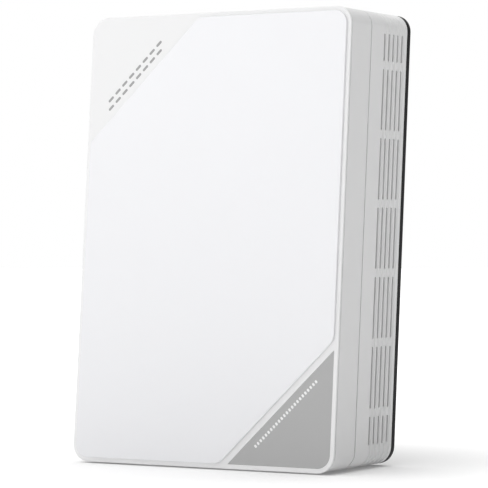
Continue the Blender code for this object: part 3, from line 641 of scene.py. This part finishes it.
def make_rear_housing():
    """The grooved ring, with its vent slots."""
    outer = BODY_INSET
    inner = outer + WALL
    end = COVER_FRONT - GAP
    tongue = inner + GAP
    profile = [(outer + i, SEAM_BACK + d) for i, d in rounding(SHELL_EDGE)]
    profile += groove_profile()
    profile += [(outer + i, end - d) for i, d in reversed(rounding(SHELL_EDGE))]
    profile += [(inner, end), (inner, SEAM_BACK + 3 * MM)]
    profile += [(tongue + TONGUE_WALL, SEAM_BACK + 2 * MM)]
    profile += [(tongue + TONGUE_WALL, SEAM_BACK - TONGUE_REACH)]
    profile += [(tongue, SEAM_BACK - TONGUE_REACH), (tongue, SEAM_BACK)]
    loops = [(body_outline(inset), depth) for inset, depth in profile]
    ring = shell("rear_housing_shell", loft(loops, closed=True))
    slots = bmesh.new()
    for side in (-1, 1):
        middle = side * (WIDTH / 2 - WALL / 2)
        for number in range(GROOVE_COUNT):
            depth = FIRST_GROOVE + number * GROOVE_PITCH
            for height, length in slot_rows():
                outline = rectangle(SLOT_WIDTH, length, SLOT_WIDTH / 2 - 1e-6, (depth, height), 6)
                join(slots, across(outline, middle - WALL, middle + WALL))
    cutters = [shell("slots", slots)]
    bosses = []
    for x in (-CASE_SCREW_X, CASE_SCREW_X):
        for v in CASE_SCREW_V:
            boss = cylinder(BOSS_RADIUS, BOSS_START, COVER_INNER - GAP)
            bosses.append(behind("boss", boss, (x, 0, v)))
            bore = cylinder(BOSS_BORE, BOSS_BORE_START, COVER_INNER + 1 * MM)
            cutters.append(behind("bore", bore, (x, 0, v)))
    carve(ring, bosses, "UNION")
    carve(ring, cutters)
    # The side white carries painted shade for the casing's shaded sides.
    dress(ring, SIDE_WHITE_WITH_PAINTED_SHADE, ["rear_housing"], weighted=True)


def make_feet():
    """Four rounded rubber pads."""
    for row in ("front", "rear"):
        for side in ("left", "right"):
            node = f"foot_{row}_{side}"
            low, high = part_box(node)
            size = high - low
            middle = (low + high) / 2
            loops = []
            for inset, drop in rounding(FOOT_EDGE):
                pad = rectangle(size.x - 2 * inset, size.y - 2 * inset, FOOT_CORNER - inset)
                loops.append((pad, drop))
            loops.append((rectangle(size.x, size.y, FOOT_CORNER), size.z))
            matrix = Matrix.Translation((middle.x, middle.y, low.z))
            matrix = matrix @ Matrix.Rotation(math.pi / 2, 4, "X")
            pad = plain_object(f"pad_{row}_{side}", loft(loops), matrix)
            dress(pad, RUBBER, [node])


# Rear cover and the pieces seen through it, in the back frame.

def grown_rectangle(width, height, radius, centre=(0, 0)):
    return lambda grow: rectangle(width + 2 * grow, height + 2 * grow, radius + grow, centre, 6)


def grown_circle(radius):
    return lambda grow: circle(radius + grow)


def capsule(radius, half_length, steps=8):
    """A round-ended bar along x."""
    ends = [math.pi / 2 * step / steps for step in range(steps + 1)]
    nose = []
    for turn in ends:
        reach = max(radius * math.sin(turn), 2e-5)
        nose.append((reach, -half_length - radius * math.cos(turn)))
    mesh = turned(nose + [(r, -u) for r, u in reversed(nose)], 24)
    bmesh.ops.transform(mesh, matrix=Matrix.Rotation(math.pi / 2, 4, "Z"), verts=mesh.verts)
    return mesh


def door_pivot(size, v):
    return (0, DOOR_PIVOT_U, v - size[1] / 2 + DOOR_PIVOT_V)


def door_recess(size, window, v):
    """Cutters for the recess that a door lies in, the window behind it and its pin holes."""
    width, height = size
    recess = grown_rectangle(width + 2 * DOOR_CLEARANCE, height + 2 * DOOR_CLEARANCE, 1 * MM)
    lift = (height - window[1]) / 2 - WINDOW_TOP
    opening = grown_rectangle(*window, 1 * MM)
    window_cutter = lipped_cutter(opening, COVER_INNER - 1 * MM, DOOR_RECESS, 0.2 * MM)
    reach = width / 2 + PIN_HOLE_REACH
    pins = across(circle(DOOR_PIN + PIN_PLAY, 24), -reach, reach)
    return [
        behind("recess", lipped_cutter(recess, DOOR_RECESS, 0, 0.25 * MM), (0, 0, v)),
        behind("window", window_cutter, (0, 0, v + lift)),
        behind("pin_holes", pins, door_pivot(size, v)),
    ]


def make_rear_cover():
    """The dark plate at the back, with a rounded lip round each opening."""
    soft = 0.2 * MM
    rear = DEPTH - 0.01 * MM
    loops = [(body_outline(BODY_INSET + soft), COVER_FRONT)]
    loops.append((body_outline(BODY_INSET), COVER_FRONT + soft))
    loops += [(body_outline(BODY_INSET + i), rear - d) for i, d in reversed(rounding(COVER_EDGE))]
    loops.append((body_outline(BODY_INSET + COVER_EDGE + FLAT_MARGIN), rear))
    cover = shell("rear_cover_plate", loft(loops))
    start = COVER_INNER - 1 * MM
    lip = 0.4 * MM
    mouth = grown_rectangle(JACK_WIDTH + 2 * GAP, JACK_HEIGHT + 2 * GAP, 0.6 * MM)
    cutters = []
    for x in JACK_X:
        cutters.append(behind("mouth", lipped_cutter(mouth, start, 0, lip), (x, 0, PORT_ROW)))
    round_holes = [(4.5 * MM, POWER_X, PORT_ROW), (5.2 * MM, POWER_X, POWER_BUTTON_V)]
    round_holes += [(3.6 * MM, BUTTON_X, PORT_ROW), (0.9 * MM, BUTTON_X, RESET_V)]
    for radius, x, v in round_holes:
        hole = lipped_cutter(grown_circle(radius), start, 0, lip)
        cutters.append(behind("hole", hole, (x, 0, v)))
    cutters += door_recess(SIM_DOOR, SIM_WINDOW, SIM_V)
    cutters += door_recess(AERIAL_DOOR, AERIAL_WINDOW, AERIAL_V)
    for x in (-VENT_X, VENT_X):
        for row in range(VENT_ROWS):
            vent = grown_rectangle(*VENT_SIZE, 0.99 * MM)
            at = (x, 0, LOWEST_VENT + VENT_PITCH * row)
            cutters.append(behind("vent", lipped_cutter(vent, start, 0, 0.3 * MM), at))
    for x in (-CASE_SCREW_X, CASE_SCREW_X):
        for v in CASE_SCREW_V:
            cutters.append(behind("shank", cylinder(1.7 * MM, start, 0), (x, 0, v)))
            well = lipped_cutter(grown_circle(2.9 * MM), -1.9 * MM, 0, 0.25 * MM)
            cutters.append(behind("well", well, (x, 0, v)))
    carve(cover, cutters)
    dress(cover, DARK_PLASTIC, ["rear_cover"], weighted=True)


def make_door(node, size, v):
    """A door plate with soft edges, hinge pins and a groove for a fingertip."""
    width, height = size
    front = DOOR_FRONT - DOOR_PIVOT_U
    back = DOOR_BACK - DOOR_PIVOT_U
    soft = 0.15 * MM
    edge = 0.3 * MM
    radius = 0.8 * MM
    plate = grown_rectangle(width, height, radius, (0, height / 2 - DOOR_PIVOT_V))
    loops = [(plate(-soft), front), (plate(0), front + soft)]
    loops += [(plate(-i), back - d) for i, d in reversed(rounding(edge))]
    loops.append((plate(-edge - FLAT_MARGIN), back))
    at = door_pivot(size, v)
    door = behind(node + "_plate", loft(loops), at)
    carve(door, [behind("pins", capsule(DOOR_PIN, width / 2 + PIN_REACH), at)], "UNION")
    groove = capsule(1.6 * MM, 2.8 * MM)
    groove_place = Matrix.Translation((0, back + 1 * MM, height - DOOR_PIVOT_V - 2 * MM))
    bmesh.ops.transform(groove, matrix=groove_place, verts=groove.verts)
    carve(door, [behind("groove", groove, at)])
    dress(door, DARK_PLASTIC, [node], node, weighted=True)


def make_button(node, radius, at):
    """A push button with a dished top."""
    flange_face = COVER_INNER - 0.3 * MM
    flange_back = flange_face - 1 * MM
    flange = radius + 0.9 * MM
    top = 0.8 * MM
    dish = radius - 0.8 * MM
    stem = 1.5 * MM
    profile = [(stem, BUTTON_STEM_END), (stem, flange_back), (flange, flange_back)]
    profile += [(flange, flange_face), (radius, flange_face)]
    profile += [(radius - i, top - d) for i, d in reversed(rounding(0.5 * MM))]
    for step in range(9):
        reach = 1 - step / 8.2
        profile.append((dish * reach, top - 0.35 * MM * (1 - reach ** 2)))
    dress(behind(node + "_cap", turned(profile), at), DARK_SATIN, [node], node)


def button_mark(node, radius, gap, at):
    """A raised ring on a button, open at the top, with a bar in the opening if it has a gap."""
    thickness = 0.32 * MM
    base = 0.4 * MM
    face = 0.56 * MM
    bar = 1.1 * MM
    steps = 40
    turns = [math.pi / 2 + gap + (math.tau - 2 * gap) * step / steps for step in range(steps + 1)]
    inner = radius - thickness
    outline = [(radius * math.cos(turn), radius * math.sin(turn)) for turn in turns]
    outline += [(inner * math.cos(turn), inner * math.sin(turn)) for turn in reversed(turns)]
    mesh = prism(outline, base, face)
    if gap > 0.3:
        join(mesh, prism(rectangle(thickness, bar, 0, (0, radius - 0.2 * MM)), base, face))
    dress(behind(node + "_mark", mesh, at), WHITE_INK, body=node)


def jack_opening(grow):
    """The stepped mouth of a network jack, with the latch side down."""
    wide, middle, narrow = [reach + grow for reach in (5.9 * MM, 3.1 * MM, 1.9 * MM)]
    top = 4.6 * MM + grow
    step, shelf, low = [level - grow for level in (-2.4 * MM, -4.4 * MM, -5.6 * MM)]
    right = [(narrow, low), (narrow, shelf), (middle, shelf), (middle, step)]
    right += [(wide, step), (wide, top)]
    return right + [(-x, v) for x, v in reversed(right)]


def make_network_jacks():
    """Jack blocks with lipped slots and light windows, and eight bent contact wires in each."""
    edge = 0.25 * MM
    block = grown_rectangle(JACK_WIDTH, JACK_HEIGHT, 0.4 * MM)
    contact_mm = [(-4, 4.52), (-4.8, 4.3), (-6, 3.85), (-8.5, 2.95)]
    contact_mm += [(-11, 2.05), (-12.1, 1.7), (-12.9, 1.8)]
    pitch = 1.02 * MM
    for number, x in enumerate(JACK_X, start=1):
        at = (x, 0, PORT_ROW)
        loops = [(block(0), ON_BOARD)]
        loops += [(block(-i), JACK_FACE - d) for i, d in reversed(rounding(edge))]
        loops.append((block(-edge - FLAT_MARGIN), JACK_FACE))
        jack = behind(f"lan_jack_body_{number}", loft(loops), at)
        slot = lipped_cutter(jack_opening, JACK_FACE - JACK_SLOT_DEPTH, JACK_FACE, edge)
        cutters = [behind("slot", slot, at)]
        lenses = bmesh.new()
        for side in (-JACK_LIGHT_X, JACK_LIGHT_X):
            window = rectangle(3 * MM, 1.3 * MM, 0.2 * MM, (side, JACK_LIGHT_V), 4)
            cutters.append(behind("light", prism(window, JACK_FACE - 0.6 * MM, 1 * MM), at))
            lens = rectangle(2.9 * MM, 1.2 * MM, 0.2 * MM, (side, JACK_LIGHT_V), 4)
            join(lenses, prism(lens, JACK_FACE - 0.55 * MM, JACK_FACE - 0.06 * MM))
        carve(jack, cutters)
        dress(jack, JACK_BLACK, [f"lan_jack_{number}"], weighted=True)
        dress(behind(f"lan_lights_{number}", lenses, at), GREEN_LENS)
        wires = bmesh.new()
        for wire in range(8):
            across_slot = (wire - 3.5) * pitch
            path = [(across_slot, u * MM, v * MM) for u, v in contact_mm]
            tube(path, 0.21 * MM, 10, wires)
        springs = behind(f"lan_springs_{number}", wires, at)
        dress(springs, GOLD, [f"lan_contacts_{number}"])


def make_power_inlet():
    at = (POWER_X, 0, PORT_ROW)
    inlet = behind("dc_inlet_body", box((10 * MM, 12 * MM, 11 * MM), (0, ON_BOARD + 6 * MM, 0)), at)
    nose = [(4.2 * MM, -8 * MM)]
    nose += [(4.2 * MM - i, JACK_FACE - d) for i, d in reversed(rounding(0.3 * MM))]
    carve(inlet, [behind("nose", turned(nose), at)], "UNION")
    bore = lipped_cutter(grown_circle(2.9 * MM), -10 * MM, JACK_FACE, 0.35 * MM)
    carve(inlet, [behind("bore", bore, at)])
    dress(inlet, JACK_BLACK, ["dc_inlet"], weighted=True)
    pin = [(0.95 * MM, -9.9 * MM)]
    pin += [(0.95 * MM - i, -1.6 * MM - d) for i, d in reversed(rounding(0.6 * MM))]
    dress(behind("dc_pin", turned(pin, 24), at), GOLD, ["dc_inlet_pin"])


def make_screws():
    """Case and board screws with rounded heads and six-lobed recesses."""
    case = ("case", 1.35, -11, 2.6, -1.6, -0.4, CASE_SCREW_X, CASE_SCREW_V)
    board = ("board", 1.25, -27, 2.4, ON_BOARD / MM, -17.5, BOARD_SCREW_X, BOARD_SCREW_V)
    for kind, *sizes_mm, x, rows in (case, board):
        shank, tip, head, under, top = [size * MM for size in sizes_mm]
        loops = [(circle(shank - 0.4 * MM), tip), (circle(shank), tip + 0.5 * MM)]
        loops += [(circle(shank), under), (circle(head), under)]
        loops += [(circle(head - i), top - d) for i, d in reversed(rounding(0.5 * MM))]
        loops += [(lobed(1.2 * MM), top), (lobed(1.1 * MM), top - 0.12 * MM)]
        loops.append((lobed(0.9 * MM), top - 0.8 * MM))
        for side, sign in (("left", -1), ("right", 1)):
            for level, v in zip(("low", "high"), rows):
                name = f"{kind}_screw_{level}_{side}"
                piece = behind(name.replace("screw", "bolt"), loft(loops), (sign * x, 0, v))
                dress(piece, STEEL, [name])


def soften(obj, width):
    """Rounds the sharp edges of a plain solid."""
    bevel = obj.modifiers.new("Soft edges", "BEVEL")
    bevel.width = width
    bevel.segments = 3
    bevel.limit_method = "ANGLE"
    bevel.angle_limit = math.radians(40)
    bevel.harden_normals = True


def make_board_parts():
    """Parts soldered to the back of the main board: transformers, memory, capacitors and coils."""
    blocks = bmesh.new()
    for x in JACK_X:
        box((15 * MM, 6 * MM, 6.4 * MM), (x, ON_BOARD + 3 * MM, 35.4 * MM), blocks)
    for x in (-24 * MM, 24 * MM):
        box((12 * MM, 1.2 * MM, 14 * MM), (x, ON_BOARD + 0.6 * MM, PROCESSOR_V), blocks)
    for x in (-36 * MM, -26 * MM):
        box((7 * MM, 1 * MM, 7 * MM), (x, ON_BOARD + 0.5 * MM, 58 * MM), blocks)
    capacitors = bmesh.new()
    for v in (70 * MM, 73.5 * MM, 145 * MM):
        for number in range(17):
            x = (number - 8) * 5 * MM
            box((2 * MM, 1.2 * MM, 1.2 * MM), (x, ON_BOARD + 0.6 * MM, v), capacitors)
    coils = bmesh.new()
    for x in (24 * MM, 33 * MM):
        box((7 * MM, 4 * MM, 7 * MM), (x, ON_BOARD + 2 * MM, 48 * MM), coils)
    cans = bmesh.new()
    for x in (25 * MM, 34 * MM, 43 * MM):
        can = [(3.2 * MM, ON_BOARD)]
        can += [(3.2 * MM - i, ON_BOARD + 8 * MM - d) for i, d in reversed(rounding(0.5 * MM))]
        mesh = turned(can, 32)
        bmesh.ops.transform(mesh, matrix=Matrix.Translation((x, 0, 60 * MM)), verts=mesh.verts)
        join(cans, mesh)
    pieces = [
        ("board_chips", blocks, CHIP_BLACK, "chip_package", 0.15 * MM),
        ("board_capacitors", capacitors, CAPACITOR, "gold_contact", 0.12 * MM),
        ("board_coils", coils, LEAD_GREY, "chip_package", 0.5 * MM),
        ("board_cans", cans, ALUMINIUM, "heatsink_aluminium", 0),
    ]
    for name, mesh, material, slot, soft in pieces:
        piece = dress(behind(name, mesh), material)
        if soft:
            soften(piece, soft)


# Printed marks: plain dashes on the frame and plain ticks on the badge.

def stamp(name, shapes, front, material):
    """Thin printed shapes on the front face, each an outline in (x, height)."""
    mesh = bmesh.new()
    ink = 0.02 * MM
    for outline in shapes:
        rings = add_rings(mesh, [(outline, front - ink), (outline, front + ink)])
        mesh.faces.new(rings[0])
        mesh.faces.new(rings[1])
    dress(shell(name, mesh), material)


def along_diagonal(offset, along, length, thickness):
    """A round-ended dash parallel to the cut corners, at a height over x of offset."""
    outline = rectangle(length, thickness, min(length, thickness) / 2 - 1e-6, steps=6)
    turn = Matrix.Rotation(math.pi / 4, 2)
    middle = Vector(((along - offset) / 2, (along + offset) / 2))
    return [middle + turn @ Vector(point) for point in outline]


def row_of_marks(offset, middle, count, pitch, length, thickness, shift=0):
    """Equal marks in a row parallel to the cut corners, centred on middle but for a shift."""
    root = math.sqrt(2)
    shapes = []
    for number in range(count):
        place = (number - (count - 1) / 2 + shift) * pitch
        shapes.append(along_diagonal(offset, (middle + place) * root, length, thickness))
    return shapes


def make_marks():
    root = math.sqrt(2)
    panel_line = HEIGHT - PANEL_CUT + WIDTH / 2
    dashes = []
    for row, shift in ((-1, -0.25), (1, 0.25)):
        offset = panel_line + (5.4 * MM + row * 1.45 * MM) * root
        dashes += row_of_marks(offset, 92 * MM, 8, 4.9 * MM, 3.4 * MM, 1.15 * MM, shift)
    stamp("front_mark", dashes, 0, GREY_INK)
    badge_line = BADGE_CUT - WIDTH / 2
    offset = badge_line - 3.8 * MM * root
    ticks = row_of_marks(offset, 47.3 * MM, 24, 1.75 * MM, 1.05 * MM, 1.5 * MM)
    stamp("badge_mark", ticks, BADGE_FRONT, WHITE_INK)


# Finishes for the CAD nodes that stay.

def finish_nodes():
    by_slot = {
        "switch_body": (DARK_SATIN, 0.2),
        "circuit_board": (BOARD_GREEN, 0.1),
        "tinned_steel": (TINNED, 0.2),
        "heatsink_aluminium": (ALUMINIUM, 0.15),
        "chip_package": (CHIP_BLACK, 0.15),
        "thermal_pad": (PAD_GREY, 0.2),
        "gold_contact": (GOLD, 0.1),
        "clear_guide": (CLEAR, 0.1),
        "inner_plastic": (INNER_WHITE, 0.2),
        "lead_jacket": (LEAD_GREY, 0),
        "aerial_board": (AERIAL_BOARD, 0.1),
        "white_plunger": (INNER_WHITE, 0.1),
    }
    for part in frame["record"]["subparts"]:
        obj = frame["nodes"][part["node"]]
        if part["material_slot"] not in by_slot:
            continue
        material, soft = by_slot[part["material_slot"]]
        obj.data.materials.clear()
        obj.data.materials.append(material)
        if soft:
            soften(obj, soft * MM)


# Studio.

CAMERA_AIM = Vector((0.0009, 0.0005, 0.098))
CAMERA_AZIMUTH = math.radians(30.7)
CAMERA_TILT = math.radians(0.067)
CAMERA_DISTANCE = 1.137
CAMERA_LENS = 187.08


def make_camera():
    data = bpy.data.cameras.new("camera")
    data.lens = CAMERA_LENS
    data.sensor_width = 36
    data.clip_start = 0.01
    camera = bpy.data.objects.new("camera", data)
    level = math.cos(CAMERA_TILT)
    away = Vector((math.sin(CAMERA_AZIMUTH) * level, -math.cos(CAMERA_AZIMUTH) * level,
                   math.sin(CAMERA_TILT)))
    camera.location = CAMERA_AIM + away * CAMERA_DISTANCE
    camera.rotation_euler = away.to_track_quat("Z", "Y").to_euler()
    bpy.context.scene.collection.objects.link(camera)
    bpy.context.scene.camera = camera


def make_softbox(name, location, target, size, power):
    data = bpy.data.lights.new(name, "AREA")
    data.shape = "RECTANGLE"
    data.size, data.size_y = size
    data.energy = power
    lamp = bpy.data.objects.new(name, data)
    lamp.location = location
    aim = Vector(target) - Vector(location)
    lamp.rotation_euler = aim.to_track_quat("-Z", "Y").to_euler()
    bpy.context.scene.collection.objects.link(lamp)


def make_sky():
    """A white room, brighter overhead and dimmer on the +X side, as the casing's side is shaded."""
    world = bpy.data.worlds.new("studio")
    bpy.context.scene.world = world
    world.use_nodes = True
    nodes = world.node_tree.nodes
    links = world.node_tree.links
    place = nodes.new("ShaderNodeTexCoord")
    split = nodes.new("ShaderNodeSeparateXYZ")
    links.new(place.outputs["Generated"], split.inputs["Vector"])
    strength = nodes.new("ShaderNodeMath")
    strength.operation = "MULTIPLY"
    ramp(nodes, links, split.outputs["X"], -0.1, 0.7, 0.6, 0.12, strength.inputs[0])
    ramp(nodes, links, split.outputs["Z"], 0.1, 0.9, 0.75, 2.0, strength.inputs[1])
    lit = nodes["Background"]
    lit.inputs["Color"].default_value = (1, 1, 1, 1)
    links.new(strength.outputs["Value"], lit.inputs["Strength"])
    seen = nodes.new("ShaderNodeBackground")
    seen.inputs["Color"].default_value = (1, 1, 1, 1)
    seen.inputs["Strength"].default_value = 1.0
    rays = nodes.new("ShaderNodeLightPath")
    choose = nodes.new("ShaderNodeMixShader")
    links.new(rays.outputs["Is Camera Ray"], choose.inputs["Fac"])
    links.new(lit.outputs["Background"], choose.inputs[1])
    links.new(seen.outputs["Background"], choose.inputs[2])
    links.new(choose.outputs["Shader"], nodes["World Output"].inputs["Surface"])


def make_floor():
    """A pale floor with painted light: a faint glow next to the object paints a soft shadow round it, and the glow
    grows away from it, so that it meets the white behind.
    """
    mesh = bmesh.new()
    bmesh.ops.create_circle(mesh, cap_ends=True, segments=96, radius=8)
    data = bpy.data.meshes.new("floor")
    mesh.to_mesh(data)
    mesh.free()
    floor = bpy.data.objects.new("floor", data)
    material = bpy.data.materials.new("pale_floor_with_painted_glow_and_shadow")
    nodes, links, shader = shader_links(material)
    shader.inputs["Base Color"].default_value = (0.9, 0.9, 0.9, 1)
    shader.inputs["Specular IOR Level"].default_value = 0.1
    vary(nodes, links, object_noise(nodes, links, 3), 0.8, 0.95, shader.inputs["Roughness"])
    place = nodes.new("ShaderNodeTexCoord")
    reach = nodes.new("ShaderNodeVectorMath")
    reach.operation = "LENGTH"
    links.new(place.outputs["Object"], reach.inputs[0])
    glow = nodes.new("ShaderNodeMath")
    # Painted light: the floor glows faintly under and round the object, lifting the dark gap beneath it, and glows
    # more brightly further out, so that the dimmer ring paints a soft contact shadow.
    ramp(nodes, links, reach.outputs["Value"], 0.07, 0.17, 0.09, 0.22, glow.inputs[0])
    ramp(nodes, links, reach.outputs["Value"], 0.15, 0.9, 0, 0.36, glow.inputs[1])
    links.new(glow.outputs["Value"], shader.inputs["Emission Strength"])
    shader.inputs["Emission Color"].default_value = (1, 1, 1, 1)
    data.materials.append(material)
    bpy.context.scene.collection.objects.link(floor)


finish_nodes()
make_frame()
make_panel()
make_badge()
make_front_housing()
make_rear_housing()
make_feet()
make_marks()
make_rear_cover()
make_door("sim_door", SIM_DOOR, SIM_V)
make_door("aerial_door", AERIAL_DOOR, AERIAL_V)
make_button("power_button", 4.9 * MM, POWER_BUTTON_PLACE)
make_button("pairing_button", 3.3 * MM, PAIRING_BUTTON_PLACE)
button_mark("power_button", 1.9 * MM, 0.6, POWER_BUTTON_PLACE)
button_mark("pairing_button", 1.2 * MM, 0.02, PAIRING_BUTTON_PLACE)
make_network_jacks()
make_power_inlet()
make_screws()
make_board_parts()

bpy.context.scene.view_settings.view_transform = "Standard"
make_camera()
make_sky()
make_floor()
make_softbox("key", (-1.2, -1.7, 0.7), (0, 0, 0.1), (1.2, 1.0), 4.2)
make_softbox("top", (0, 0.1, 1.6), (0, 0, 0), (1.6, 1.6), 10)
make_softbox("panel_sheen", (-0.87, -1.22, 0.6), (-0.03, -0.02, 0.16), (0.45, 0.4), 0.3)
